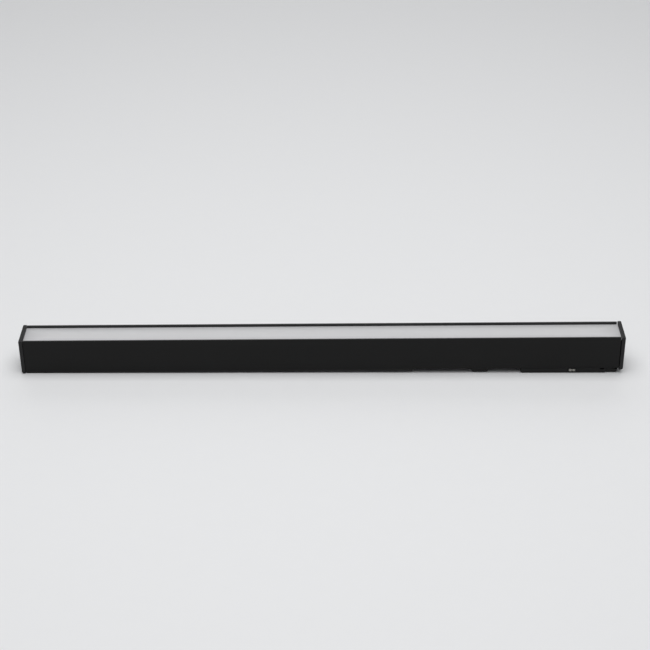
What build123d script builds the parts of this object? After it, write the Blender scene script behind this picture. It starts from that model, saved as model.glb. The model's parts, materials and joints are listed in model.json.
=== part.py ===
from build123d import *
from math import radians, tan
import os

os.makedirs("parts", exist_ok=True)

# A slim linear light bar with a plug-in rail adapter, in millimetres.
# X runs along the bar, the front face looks to -Y and the diffuser looks to +Z.
# The origin is at the middle of the back strip's outer face, which meets the rail or wall.

# ---- driving dimensions ----
bar_length = 600.0
body_width = 31.0
body_height = 35.5
wall = 1.6
edge_radius = 0.35

strip_thickness = 2.2
strip_inset = 0.5
strip_end_x = 90.0

cap_thickness = 3.7
cap_proud = 0.5
cap_edge_radius = 1.0
cap_heel_radius = 2.3
cap_gap_left = 0.45
cap_gap_right = 0.9

diffuser_thickness = 1.8
diffuser_recess = 2.45

web_top_z = 24.0
web_thickness = 1.8
port_y = 11.5
port_z = 20.2
port_radius = 2.6
port_bore_radius = 1.25
port_slot = 1.2
flange_z = 7.0
flange_thickness = 1.6
flange_reach = 3.9

wire_diameter = 1.2
fit_gap = 0.15

head_start_x = 198.0
head_end_x = 283.0
head_depth = 5.6
head_inset = 0.5
tail_end_x = 294.5
tail_inset = 0.8

contact_x = 249.4
contact_pitch = 3.4
contact_width = 3.1
contact_proud = 0.9

lock_start_x = 150.0
lock_length = 16.0
lock_depth = 3.6
lock_travel = 8.0

# ---- places worked out from them ----
half_width = body_width / 2
inner_half = half_width - wall
floor_z = strip_thickness
top_z = floor_z + body_height
end_x = bar_length / 2
cap_face_x = end_x - cap_thickness
body_start_x = -cap_face_x + cap_gap_left
body_end_x = cap_face_x - cap_gap_right
web_bottom_z = web_top_z - web_thickness
flange_y = inner_half - flange_reach
flange_top_z = flange_z + flange_thickness
diffuser_top_z = top_z - diffuser_recess
diffuser_bottom_z = diffuser_top_z - diffuser_thickness


# ---- small shape helpers ----
def block(x_span, y_span, z_span):
    spans = (x_span, y_span, z_span)
    size = [high - low for low, high in spans]
    centre = [(high + low) / 2 for low, high in spans]
    return Pos(*centre) * Box(*size)


def post(x, y, z_span, radius):
    low, high = z_span
    return Pos(x, y, (low + high) / 2) * Cylinder(radius, high - low)


def rod_along_x(x_span, y, z, radius):
    low, high = x_span
    return Pos((low + high) / 2, y, z) * Rot(0, 90, 0) * Cylinder(radius, high - low)


def rear_copy(shape):
    return shape.mirror(Plane.XZ)


def group(shapes):
    return Compound(children=list(shapes))


def long_edges(shape, length, keep):
    edges = shape.edges().filter_by(Axis.X)
    return [edge for edge in edges if edge.length > 0.9 * length and keep(edge.center())]


# The screw's bearing plane is at Z = 0: the thread runs up from it and the head lies below.
def screw(thread_radius, thread_length, head_radius, head_height, countersunk=False):
    thread = post(0, 0, (0, thread_length), thread_radius)
    if countersunk:
        head = Pos(0, 0, -head_height / 2) * Cone(head_radius, thread_radius, head_height)
    else:
        head = post(0, 0, (-head_height, 0), head_radius)
        head = fillet(head.edges().sort_by(Axis.Z)[0], head_height * 0.35)
    recess_depth = head_height * 0.5
    arm = head_radius * 1.15
    slot_width = head_radius * 0.28
    recess_span = (-head_height - 0.1, -head_height + recess_depth)
    cross = block((-arm / 2, arm / 2), (-slot_width / 2, slot_width / 2), recess_span)
    cross = cross + Rot(0, 0, 90) * cross
    return thread + head - cross


# A wire's centre line is straight runs joined by the largest tangent arcs that they allow.
def wire(points):
    corners = [Vector(*point) for point in points]
    radii = []
    for before, corner, after in zip(corners, corners[1:], corners[2:]):
        run_in = corner - before
        run_out = after - corner
        half_turn = radians(run_in.get_angle(run_out)) / 2
        radii.append(0.45 * min(run_in.length, run_out.length) / tan(half_turn))
    route = FilletPolyline(*corners, radius=radii)
    section = Plane(route @ 0, z_dir=route % 0) * Circle(wire_diameter / 2)
    tube = sweep(section, path=route)
    ideal = Circle(wire_diameter / 2).area * route.length
    print("wire length", round(route.length, 1), "radii", [round(r, 1) for r in radii])
    print("  volume over section times length:", round(tube.volume / ideal, 4))
    return tube


# ---- housing: an aluminium extrusion with a web, screw ports and two flanges ----
led_screw_spots = [(30, 5.9), (150, -5.9), (270, 5.9), (-30, -5.9), (-150, 5.9), (-270, -5.9)]
tray_screw_x = (11.0, 86.0)
base_screw_x = (97.0, 190.0, 288.0)
base_screw_y = 11.6
ledge_reach = 0.85
ledge_thickness = 1.2
wire_hole_radius = 5.0
thread_bore_radius = 1.25
small_bore_radius = 1.05


def screw_port(length_span):
    tube = rod_along_x(length_span, port_y, port_z, port_radius)
    bore = rod_along_x(length_span, port_y, port_z, port_bore_radius)
    slot = block(length_span, (-port_radius * 1.5, 0), (-port_slot / 2, port_slot / 2))
    slot = Pos(0, port_y, port_z) * Rot(45, 0, 0) * slot
    return tube, bore + slot


def make_housing():
    span = (body_start_x, body_end_x)
    side = block(span, (inner_half, half_width), (floor_z, top_z))
    side = side + block(span, (flange_y, inner_half), (flange_z, flange_top_z))
    ledge_span = (diffuser_bottom_z - 0.05 - ledge_thickness, diffuser_bottom_z - 0.05)
    side = side + block(span, (inner_half - ledge_reach, inner_half), ledge_span)
    port, port_cut = screw_port(span)
    side = side + port
    web = block(span, (-inner_half, inner_half), (web_bottom_z, web_top_z))
    body = side + rear_copy(side) + web
    body = body - port_cut - rear_copy(port_cut)
    outer = long_edges(body, span[1] - span[0], lambda c: abs(c.Y) > half_width - 0.01)
    body = fillet(outer, edge_radius)
    cuts = [post(0, 0, (web_bottom_z - 1, web_top_z + 1), wire_hole_radius)]
    for x, y in led_screw_spots:
        cuts.append(post(x, y, (web_bottom_z - 1, web_top_z + 1), thread_bore_radius))
    for x in tray_screw_x:
        cuts.append(post(x, 0, (web_bottom_z - 1, web_top_z + 1), thread_bore_radius))
    for x in base_screw_x:
        for y in (-base_screw_y, base_screw_y):
            cuts.append(post(x, y, (flange_z - 1, flange_top_z + 1), small_bore_radius))
    return body - cuts


# ---- opal diffuser: an extruded plate on two snap legs ----
leg_thickness = 1.2
leg_length = 4.0
leg_end_cut = 9.0
barb_height = 1.0


def make_diffuser():
    plate_half = inner_half - fit_gap
    plate_end = cap_face_x - 0.05
    plate = block((-plate_end, plate_end), (-plate_half, plate_half),
                  (diffuser_bottom_z, diffuser_top_z))
    leg_outer = inner_half - ledge_reach - fit_gap
    leg_end = plate_end - leg_end_cut
    leg_span = (-leg_end, leg_end)
    leg = block(leg_span, (leg_outer - leg_thickness, leg_outer),
                (diffuser_bottom_z - leg_length, diffuser_bottom_z))
    barb_top = diffuser_bottom_z - ledge_thickness - 0.15
    barb = block(leg_span, (leg_outer, leg_outer + 0.6), (barb_top - barb_height, barb_top))
    leg = leg + barb
    body = plate + leg + rear_copy(leg)
    rim = long_edges(body, 2 * plate_end, lambda c: c.Z > diffuser_top_z - 0.01)
    return fillet(rim, 0.25)


# ---- end caps: moulded plates with two locating spigots and two countersunk holes ----
cap_screw_radius = 1.2
cap_screw_length = 9.0
cap_head_radius = 2.8
cap_head_height = 1.7
spigot_depth = 2.5
spigot_wall = 1.2


def spigot(half_y, z_span):
    low, high = z_span
    x_span = (cap_face_x - spigot_depth, cap_face_x)
    outer = block(x_span, (-half_y, half_y), z_span)
    inner_y = half_y - spigot_wall
    inner = block(x_span, (-inner_y, inner_y), (low + spigot_wall, high - spigot_wall))
    return outer - inner


def make_end_cap():
    half_y = half_width + cap_proud
    plate = block((cap_face_x, end_x), (-half_y, half_y), (0, top_z))
    outer_face = plate.faces().sort_by(Axis.X)[-1]
    heel = outer_face.edges().sort_by(Axis.Z)[0]
    plate = fillet(heel, cap_heel_radius)
    rim = plate.faces().sort_by(Axis.X)[-1].edges().filter_by(lambda e: e.center().Z > 3.0)
    plate = fillet(rim, cap_edge_radius)
    cap = plate + spigot(11.2, (25.9, 31.4)) + spigot(8.2, (10.6, 16.6))
    for y in (-port_y, port_y):
        hole = rod_along_x((cap_face_x - 1, end_x + 1), y, port_z, 1.6)
        sink = Cone(cap_head_radius + 0.15, 1.3, cap_head_height + 0.1)
        sink = Pos(end_x - cap_head_height / 2, y, port_z) * Rot(0, -90, 0) * sink
        cap = cap - hole - sink
    return cap


def make_cap_screws():
    item = screw(cap_screw_radius, cap_screw_length, cap_head_radius, cap_head_height, True)
    seat_x = end_x - cap_head_height - 0.05
    return [Pos(seat_x, y, port_z) * Rot(0, -90, 0) * item for y in (-port_y, port_y)]


def left_copy(shape):
    return shape.mirror(Plane.YZ)


# ---- LED boards on the web ----
tape_thickness = 0.2
board_thickness = 1.6
board_half_width = 9.0
board_inner_x = 7.0
board_outer_x = 293.3
led_first_x = 22.5
led_pitch = 8.6
led_count = 32
led_size = (3.5, 2.8, 0.8)
board_bottom_z = web_top_z + tape_thickness
board_top_z = board_bottom_z + board_thickness
terminal_span = (9.0, 16.0)
terminal_height = 3.2


def screw_spots_right_half():
    return [spot for spot in led_screw_spots if spot[0] > 0]


def make_led_board():
    board = block((board_inner_x, board_outer_x), (-board_half_width, board_half_width),
                  (board_bottom_z, board_top_z))
    for x, y in screw_spots_right_half():
        board = board - post(x, y, (board_bottom_z - 1, board_top_z + 1), 1.7)
    return board


def make_tape():
    half_y = board_half_width - 0.5
    strip = block((board_inner_x + 1, board_outer_x - 1), (-half_y, half_y),
                  (web_top_z, board_bottom_z))
    for x, y in screw_spots_right_half():
        strip = strip - post(x, y, (web_top_z - 1, board_bottom_z + 1), 2.0)
    return strip


# The left board is the right one turned half a turn about the vertical.
def turned(shape):
    return Rot(0, 0, 180) * shape


def make_leds():
    packages = []
    for index in range(led_count):
        x = led_first_x + led_pitch * index
        package = Pos(x, 0, board_top_z + led_size[2] / 2) * Box(*led_size)
        window = Pos(x, 0, board_top_z + led_size[2]) * Cylinder(1.15, 0.3)
        packages.append(package - window)
    return packages


def make_board_screws():
    item = screw(thread_bore_radius - 0.05, 5.0, 2.75, 1.8)
    spots = led_screw_spots
    return group(Pos(x, y, board_top_z) * Rot(180, 0, 0) * item for x, y in spots)


def make_board_links():
    link = block((-board_inner_x - 2, board_inner_x + 2), (-0.9, 0.9),
                 (board_top_z, board_top_z + 0.4))
    return group([Pos(0, 7.4, 0) * link, Pos(0, -7.4, 0) * link])


def make_feed_terminal():
    box = block(terminal_span, (-3.6, 3.6), (board_top_z, board_top_z + terminal_height))
    box = fillet(box.edges().filter_by(Axis.X).group_by(Axis.Z)[-1], 0.4)
    release_span = (board_top_z + terminal_height - 0.4, board_top_z + terminal_height)
    for y in (-1.7, 1.7):
        release = block((11.5, 13.9), (y - 0.7, y + 0.7), release_span)
        box = box - release
    return box


def make_reflectors():
    strip = block((-292.0, 292.0), (inner_half - 0.45, inner_half - 0.05),
                  (web_top_z + 0.1, diffuser_bottom_z - 3.1))
    return group([strip, rear_copy(strip)])


def make_grommet():
    collar = wire_hole_radius + 1.2
    ring = post(0, 0, (web_bottom_z - 1.0, web_bottom_z), collar)
    ring = ring + post(0, 0, (web_top_z, web_top_z + 1.0), collar)
    ring = ring + post(0, 0, (web_bottom_z, web_top_z), wire_hole_radius - 0.02)
    return ring - post(0, 0, (web_bottom_z - 2, web_top_z + 2), wire_hole_radius - 1.6)


# ---- back strip with snap clips and magnets ----
clip_spots = [-280.0 + 60.0 * index for index in range(7)]
clip_length = 14.0
clip_outer_y = flange_y - 0.2
clip_thickness = 1.2
magnet_spots = (-250.0, -150.0, -50.0)
magnet_size = (40.0, 12.0, 3.0)


def snap_clip(x):
    x_span = (x - clip_length / 2, x + clip_length / 2)
    inner_y = clip_outer_y - clip_thickness
    leg = block(x_span, (inner_y, clip_outer_y), (floor_z, flange_top_z + 1.6))
    barb = block(x_span, (clip_outer_y, clip_outer_y + 0.7),
                 (flange_top_z + 0.15, flange_top_z + 1.6))
    return leg + barb


def magnet_frame(x):
    length, width, _ = magnet_size
    half_x = length / 2 + 0.2
    half_y = width / 2 + 0.2
    z_span = (floor_z, floor_z + 2.0)
    outer = block((x - half_x - 1, x + half_x + 1), (-half_y - 1, half_y + 1), z_span)
    return outer - block((x - half_x, x + half_x), (-half_y, half_y), z_span)


def make_back_strip():
    half_y = half_width - strip_inset
    plate = block((body_start_x, strip_end_x), (-half_y, half_y), (0, floor_z))
    rim = plate.edges().group_by(Axis.Z)[0].filter_by(Axis.X)
    strip = chamfer(rim, 0.3)
    for x in clip_spots:
        clip = snap_clip(x)
        strip = strip + clip + rear_copy(clip)
    for x in magnet_spots:
        strip = strip + magnet_frame(x)
    return strip


def make_magnets():
    length, width, thickness = magnet_size
    z = floor_z + thickness / 2
    return group(Pos(x, 0, z) * fillet(Box(length, width, thickness).edges(), 0.4)
                 for x in magnet_spots)


# ---- driver: a small board under an insulating tray ----
tray_start_x = 6.8
tray_end_x = 90.2
tray_half_width = 12.2
tray_plate_span = (15.8, 17.0)
tray_side_bottom_z = 11.4
driver_start_x = 16.0
driver_end_x = 80.0
driver_half_width = 10.5
driver_top_z = 14.6
driver_bottom_z = driver_top_z - board_thickness
wire_z = 9.5
wire_y = 1.7


def make_tray():
    plate = block((tray_start_x, tray_end_x), (-tray_half_width, tray_half_width),
                  tray_plate_span)
    side = block((driver_start_x, driver_end_x), (tray_half_width - 1.2, tray_half_width),
                 (tray_side_bottom_z, tray_plate_span[0]))
    tray = plate + side + rear_copy(side)
    for x in (28.0, 68.0):
        lip = block((x - 4, x + 4), (tray_half_width - 2.0, tray_half_width - 1.2),
                    (tray_side_bottom_z, driver_bottom_z - 0.1))
        tray = tray + lip + rear_copy(lip)
    for x in (22.0, 74.0):
        for y in (-8.0, 8.0):
            tray = tray + post(x, y, (driver_top_z, tray_plate_span[0]), 1.6)
    for x in tray_screw_x:
        tray = tray + post(x, 0, (tray_plate_span[1], web_bottom_z), 3.2)
        tray = tray - post(x, 0, (tray_plate_span[0] - 1, web_bottom_z + 1), 1.6)
    return tray


def make_tray_screws():
    item = screw(thread_bore_radius - 0.05, 7.6, 2.75, 1.8)
    return group(Pos(x, 0, tray_plate_span[0]) * item for x in tray_screw_x)


def make_driver_board():
    return block((driver_start_x, driver_end_x), (-driver_half_width, driver_half_width),
                 (driver_bottom_z, driver_top_z))


def make_inductor():
    core = block((34.0, 46.0), (-6.0, 6.0), (driver_bottom_z - 6.0, driver_bottom_z))
    return fillet(core.edges().filter_by(Axis.Z), 2.0)


def make_capacitors():
    cans = []
    for y in (-5.2, 5.2):
        can = rod_along_x((51.0, 63.0), y, driver_bottom_z - 4.1, 4.0)
        cans.append(fillet(can.edges(), 0.5))
    return group(cans)


def make_chips():
    z_span = (driver_bottom_z - 1.6, driver_bottom_z)
    controller = block((27.0, 32.0), (-8.0, -4.0), z_span)
    rectifier = block((27.0, 32.0), (2.0, 7.0), (driver_bottom_z - 2.2, driver_bottom_z))
    chips = [controller, rectifier]
    for index in range(5):
        x = 36.0 + 2.6 * index
        chips.append(block((x, x + 1.6), (7.6, 8.5), (driver_bottom_z - 0.6, driver_bottom_z)))
    return group(chips)


def make_driver_terminals():
    z_span = (driver_bottom_z - 6.4, driver_bottom_z)
    feed = block((72.5, driver_end_x), (-4.2, 4.2), z_span)
    output = block((driver_start_x, 23.5), (-4.2, 4.2), z_span)
    return group(fillet(part.edges().filter_by(Axis.Z), 0.5) for part in (feed, output))


# ---- wires, held between the pieces that they join ----
riser_x = -0.5
feed_wire_z = board_top_z + 1.5


def make_output_wire(y):
    return wire([(driver_start_x, y, wire_z), (riser_x, y, wire_z),
                 (riser_x, y, feed_wire_z), (terminal_span[0], y, feed_wire_z)])


def make_input_wire_front():
    return wire([(driver_end_x, -wire_y, wire_z), (100, -wire_y, wire_z), (136, -5.2, 12.8),
                 (174, -4.2, 13.9), (212, -busbar_y, busbar_arm_z),
                 (busbar_arm_x, -busbar_y, busbar_arm_z)])


def make_input_wire_rear():
    return wire([(driver_end_x, wire_y, wire_z), (102, wire_y, wire_z), (140, 5.8, 11.6),
                 (178, 4.6, 14.4), (210, busbar_y, busbar_arm_z),
                 (busbar_arm_x, busbar_y, busbar_arm_z)])


# ---- adapter base: a moulded floor in the channel, screwed to the flanges ----
base_floor_span = (floor_z + 0.4, floor_z + 2.8)
base_half_width = inner_half - 0.3
base_end_x = 292.0
base_start_x = strip_end_x + 0.6
neck_span = (206.0, 275.0)
neck_half_width = 8.4
neck_top_z = 9.0
stem_half_x = 4.0
stem_half_y = 6.0
lock_centre_x = lock_start_x + lock_length / 2
small_head_radius = 1.9
small_head_height = 1.3


def make_adapter_base():
    rail_y = flange_y + 0.3
    base = block((base_start_x, base_end_x), (-base_half_width, base_half_width),
                 base_floor_span)
    rail = block((base_start_x, base_end_x), (rail_y, base_half_width),
                 (base_floor_span[1], flange_z))
    rib = block((base_start_x + 2, base_end_x - 2), (flange_y - 1.2, flange_y - 0.2),
                (base_floor_span[1], neck_top_z))
    boss = block((leaf_screw_x - 5, leaf_screw_x + 5), (-4.0, 4.0),
                 (base_floor_span[1], leaf_z))
    base = base + rail + rear_copy(rail) + rib + rear_copy(rib) + boss
    through = (base_floor_span[0] - 1, flange_z + 1)
    neck_gap = 0.2
    cuts = [block((neck_span[0] - neck_gap, neck_span[1] + neck_gap),
                  (-neck_half_width - neck_gap, neck_half_width + neck_gap), through)]
    slot_gap = 0.4
    slot_span = (lock_centre_x - stem_half_x - slot_gap,
                 lock_centre_x + stem_half_x + lock_travel + slot_gap)
    cuts.append(block(slot_span, (-stem_half_y - slot_gap, stem_half_y + slot_gap), through))
    for x in base_screw_x:
        for y in (-base_screw_y, base_screw_y):
            cuts.append(post(x, y, through, 1.3))
            sink = Cone(small_head_radius + 0.1, 1.0, small_head_height + 0.1)
            cuts.append(Pos(x, y, base_floor_span[0] + small_head_height / 2) * sink)
    for x in head_screw_x:
        for y in (-head_screw_y, head_screw_y):
            cuts.append(post(x, y, through, 1.3))
    cuts.append(post(leaf_screw_x, 0, (base_floor_span[1], leaf_z + 1), small_bore_radius))
    return base - cuts


def make_base_screws():
    item = screw(small_bore_radius - 0.05, 5.2, small_head_radius, small_head_height, True)
    seat_z = base_floor_span[0] + small_head_height
    return group(Pos(x, y, seat_z) * item
                 for x in base_screw_x for y in (-base_screw_y, base_screw_y))


# ---- adapter head: the block that plugs into the rail ----
head_bottom_z = floor_z - head_depth
head_screw_x = (202.0, 279.0)
head_screw_y = 5.0
head_wall = 1.5
pocket_half_y = 5.2
pocket_floor_z = head_bottom_z + 1.0
busbar_y = 6.65
busbar_thickness = 0.5
busbar_half_x = 5.0
busbar_arm_x = 236.0
busbar_arm_z = 12.1
busbar_arm_height = 3.0
contact_z_span = (-1.2, 1.1)
head_half_width = half_width - head_inset
head_top_z = floor_z - 0.3
head_lead = 1.6
tail_lift = 0.4
tail_lead = 1.4
tail_slope_length = 8.0
tail_slope_drop = 2.2


def contact_spots():
    return (contact_x - contact_pitch / 2, contact_x + contact_pitch / 2)


# One shoe's cavity, seen from the front: the nose's window, then the wider shoulder's room.
def contact_cavity(x, outward):
    half = contact_width / 2 + fit_gap
    low, high = contact_z_span
    z_span = (low - fit_gap, high + fit_gap)
    window = block((x - half, x + half), (-head_half_width - 1, -busbar_y), z_span)
    room_x = sorted((x - outward * half, x + outward * (half + shoulder_reach)))
    room = block(room_x, (-head_half_width + head_wall, -busbar_y), z_span)
    return window + room


def busbar_slot():
    gap = 0.1
    half = busbar_thickness / 2 + gap
    return block((contact_x - busbar_half_x - gap, contact_x + busbar_half_x + gap),
                 (-busbar_y - half, -busbar_y + half), (contact_z_span[0] - gap, neck_top_z))


# A narrower tail behind the notch fills the space up to the end cap and slopes away from it.
def make_head_tail():
    bottom_z = head_bottom_z + tail_lift
    outline = [(head_end_x, bottom_z), (tail_end_x - tail_lead, bottom_z),
               (tail_end_x, bottom_z + tail_lead), (tail_end_x, head_top_z - tail_slope_drop),
               (tail_end_x - tail_slope_length, head_top_z), (head_end_x, head_top_z)]
    side = make_face(Plane.XZ * Polyline(*outline, close=True))
    return extrude(side, head_half_width - tail_inset, both=True)


def make_adapter_head():
    nose = block((head_start_x, head_end_x), (-head_half_width, head_half_width),
                 (head_bottom_z, head_top_z))
    lead = nose.edges().group_by(Axis.Z)[0].filter_by(Axis.Y)
    nose = chamfer(lead, head_lead)
    sides = nose.edges().filter_by(Axis.X).group_by(Axis.Z)[0]
    nose = fillet(sides, 0.5)
    seat = block((head_start_x, head_end_x), (-base_half_width + 0.2, base_half_width - 0.2),
                 (0, base_floor_span[0]))
    neck = block(neck_span, (-neck_half_width, neck_half_width), (0, neck_top_z))
    head = nose + make_head_tail() + seat + neck
    pocket = block((neck_span[0] + 1.6, neck_span[1] - 1.6), (-pocket_half_y, pocket_half_y),
                   (pocket_floor_z, neck_top_z))
    notch = block((277.4, 281.6), (-head_half_width - 1, -head_half_width + 1.4), (0.2, 3.0))
    cuts = [pocket, notch, rear_copy(notch), busbar_slot(), rear_copy(busbar_slot())]
    for x, outward in zip(contact_spots(), (-1, 1)):
        cavity = contact_cavity(x, outward)
        cuts = cuts + [cavity, rear_copy(cavity)]
    for x in head_screw_x:
        for y in (-head_screw_y, head_screw_y):
            cuts.append(post(x, y, (-0.8, base_floor_span[0] + 1), small_bore_radius))
    return head - cuts


def make_head_screws():
    item = screw(small_bore_radius - 0.05, 5.4, 2.1, 1.5)
    return group(Pos(x, y, base_floor_span[1]) * Rot(180, 0, 0) * item
                 for x in head_screw_x for y in (-head_screw_y, head_screw_y))


def make_head_lid():
    lid = block(neck_span, (-neck_half_width, neck_half_width), (neck_top_z, neck_top_z + 1.3))
    key = block((neck_span[0] + 1.8, neck_span[1] - 1.8), (-5.0, 5.0),
                (neck_top_z - 1.2, neck_top_z))
    lid = lid + key
    slot = block((contact_x - busbar_half_x - 0.2, contact_x + busbar_half_x + 0.2),
                 (-busbar_y - 0.4, -busbar_y + 0.4), (neck_top_z - 2, neck_top_z + 2))
    return lid - slot - rear_copy(slot)


def make_head_magnets():
    z_span = (pocket_floor_z, pocket_floor_z + 4.0)
    return group(block(span, (-pocket_half_y + 0.1, pocket_half_y - 0.1), z_span)
                 for span in ((208.0, 238.0), (243.0, 273.0)))


def make_busbar():
    half = busbar_thickness / 2
    y_span = (-busbar_y - half, -busbar_y + half)
    x_high = contact_x + busbar_half_x
    arm_bottom_z = busbar_arm_z - busbar_arm_height / 2
    blade = block((contact_x - busbar_half_x, x_high), y_span,
                  (contact_z_span[0], arm_bottom_z))
    arm = block((busbar_arm_x, x_high), y_span,
                (arm_bottom_z, arm_bottom_z + busbar_arm_height))
    return blade + arm


# ---- sprung contact shoes: a rounded nose with a shoulder to one side ----
shoulder_reach = 1.0
shoulder_thickness = 1.5
spring_height = 1.9
nose_tip_y = -head_half_width - contact_proud
shoulder_front_y = -head_half_width + head_wall + 0.1
shoe_back_y = shoulder_front_y + shoulder_thickness


def make_shoe(x, outward):
    half = contact_width / 2
    nose = block((x - half, x + half), (nose_tip_y, shoe_back_y), contact_z_span)
    tip = nose.faces().sort_by(Axis.Y)[0].edges().filter_by(Axis.Z)
    nose = fillet(tip, 0.8)
    shoulder_x = sorted((x, x + outward * (half + shoulder_reach)))
    shoulder = block(shoulder_x, (shoulder_front_y, shoe_back_y), contact_z_span)
    return nose + shoulder


# A wave-shaped strip that fills the room between the shoe and its busbar.
def make_contact_spring(x):
    start_y = -busbar_y - busbar_thickness / 2
    waves = 6
    half_strip = 0.3
    swing = 0.65
    step = (shoe_back_y - start_y) / waves
    near_line = []
    far_line = []
    for index in range(waves + 1):
        wave_x = x + (swing if index % 2 else -swing)
        wave_y = start_y + step * index
        near_line.append((wave_x - half_strip, wave_y))
        far_line.append((wave_x + half_strip, wave_y))
    outline = Polyline(*near_line, *reversed(far_line), close=True)
    strip = extrude(make_face(outline), spring_height)
    return Pos(0, 0, contact_z_span[0] + 0.3) * strip


# ---- rail lock: a thumb block outside, a keeper plate inside and a detent leaf ----
leaf_z = 7.9
leaf_screw_x = 187.0
leaf_thickness = 0.3
prong_y_span = (4.9, 7.7)
keeper_start_x = 144.0
keeper_end_x = 172.0
keeper_top_z = base_floor_span[1] + 1.9
keeper_bottom_z = base_floor_span[1] + 0.3
detent_x = lock_centre_x


def make_lock_slider():
    thumb = block((lock_start_x, lock_start_x + lock_length), (-14.2, 14.2),
                  (floor_z - lock_depth, floor_z - 0.3))
    thumb = fillet(thumb.edges().filter_by(Axis.Y).group_by(Axis.Z)[0], 0.6)
    for index in range(5):
        x = lock_centre_x - 5.0 + 2.5 * index
        thumb = thumb - block((x - 0.4, x + 0.4), (-12.0, 12.0),
                              (floor_z - lock_depth - 1, floor_z - lock_depth + 0.5))
    stem = block((lock_centre_x - stem_half_x, lock_centre_x + stem_half_x),
                 (-stem_half_y, stem_half_y), (0.5, keeper_bottom_z))
    bore = post(lock_centre_x, 0, (1.0, keeper_bottom_z + 1), small_bore_radius)
    return thumb + stem - bore


def make_lock_keeper():
    keeper = block((keeper_start_x, keeper_end_x), (-8.3, 8.3), (keeper_bottom_z, keeper_top_z))
    keeper = keeper - post(lock_centre_x, 0, (0, 10), 1.3)
    for x in (detent_x, detent_x - lock_travel):
        for y in (-6.3, 6.3):
            keeper = keeper - block((x - 1.3, x + 1.3), (y - 1.6, y + 1.6),
                                    (keeper_top_z - 0.7, keeper_top_z + 1))
    return keeper


def make_lock_screw():
    item = screw(small_bore_radius - 0.05, 4.6, 2.0, 0.9)
    return Pos(lock_centre_x, 0, keeper_top_z) * Rot(180, 0, 0) * item


# The leaf is a fork: its two prongs pass on each side of the lock screw.
def make_detent_leaf():
    z_span = (leaf_z, leaf_z + leaf_thickness)
    yoke_start_x = leaf_screw_x - 6
    prong = block((detent_x - 6, yoke_start_x), prong_y_span, z_span)
    tooth = block((detent_x - 0.6, detent_x + 0.6), prong_y_span, (keeper_top_z - 0.35, leaf_z))
    yoke = block((yoke_start_x, leaf_screw_x + 5), (-prong_y_span[1], prong_y_span[1]), z_span)
    leaf = yoke + prong + tooth + rear_copy(prong + tooth)
    return leaf - post(leaf_screw_x, 0, (leaf_z - 1, leaf_z + 1), 1.3)


def make_leaf_screw():
    item = screw(small_bore_radius - 0.05, 2.4, 2.0, 1.2)
    return Pos(leaf_screw_x, 0, leaf_z + leaf_thickness) * Rot(180, 0, 0) * item


# ---- every node, one file each ----
end_cap = make_end_cap()
cap_screws = make_cap_screws()
led_board = make_led_board()
leds = make_leds()
tape = make_tape()
busbar = make_busbar()

nodes = {
    "housing": make_housing(),
    "diffuser": make_diffuser(),
    "end_cap_left": left_copy(end_cap),
    "end_cap_right": end_cap,
    "end_cap_screws_left": group(left_copy(item) for item in cap_screws),
    "end_cap_screws_right": group(cap_screws),
    "led_board_left": turned(led_board),
    "led_board_right": led_board,
    "leds_left": group(turned(package) for package in leds),
    "leds_right": group(leds),
    "thermal_tape": group([tape, turned(tape)]),
    "led_board_screws": make_board_screws(),
    "board_link_strips": make_board_links(),
    "led_feed_terminal": make_feed_terminal(),
    "reflector_films": make_reflectors(),
    "wire_grommet": make_grommet(),
    "back_strip": make_back_strip(),
    "back_magnets": make_magnets(),
    "driver_tray": make_tray(),
    "driver_tray_screws": make_tray_screws(),
    "driver_board": make_driver_board(),
    "driver_inductor": make_inductor(),
    "driver_capacitors": make_capacitors(),
    "driver_chips": make_chips(),
    "driver_terminals": make_driver_terminals(),
    "output_wire_red": make_output_wire(wire_y),
    "output_wire_black": make_output_wire(-wire_y),
    "input_wire_red": make_input_wire_front(),
    "input_wire_black": make_input_wire_rear(),
    "adapter_base": make_adapter_base(),
    "adapter_base_screws": make_base_screws(),
    "adapter_head": make_adapter_head(),
    "adapter_head_screws": make_head_screws(),
    "adapter_head_lid": make_head_lid(),
    "adapter_head_magnets": make_head_magnets(),
    "busbar_front": busbar,
    "busbar_rear": rear_copy(busbar),
    "lock_slider": make_lock_slider(),
    "lock_keeper": make_lock_keeper(),
    "lock_keeper_screw": make_lock_screw(),
    "lock_detent_leaf": make_detent_leaf(),
    "lock_leaf_screw": make_leaf_screw(),
}
for place, x, outward in zip(("left", "right"), contact_spots(), (-1, 1)):
    shoe = make_shoe(x, outward)
    spring = make_contact_spring(x)
    nodes["contact_front_" + place] = shoe
    nodes["contact_rear_" + place] = rear_copy(shoe)
    nodes["contact_spring_front_" + place] = spring
    nodes["contact_spring_rear_" + place] = rear_copy(spring)

for name, shape in nodes.items():
    export_step(shape, "parts/" + name + ".step")
print("nodes written:", len(nodes))
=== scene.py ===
import json
import math

import bmesh
import bpy
from mathutils import Matrix, Vector


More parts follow.
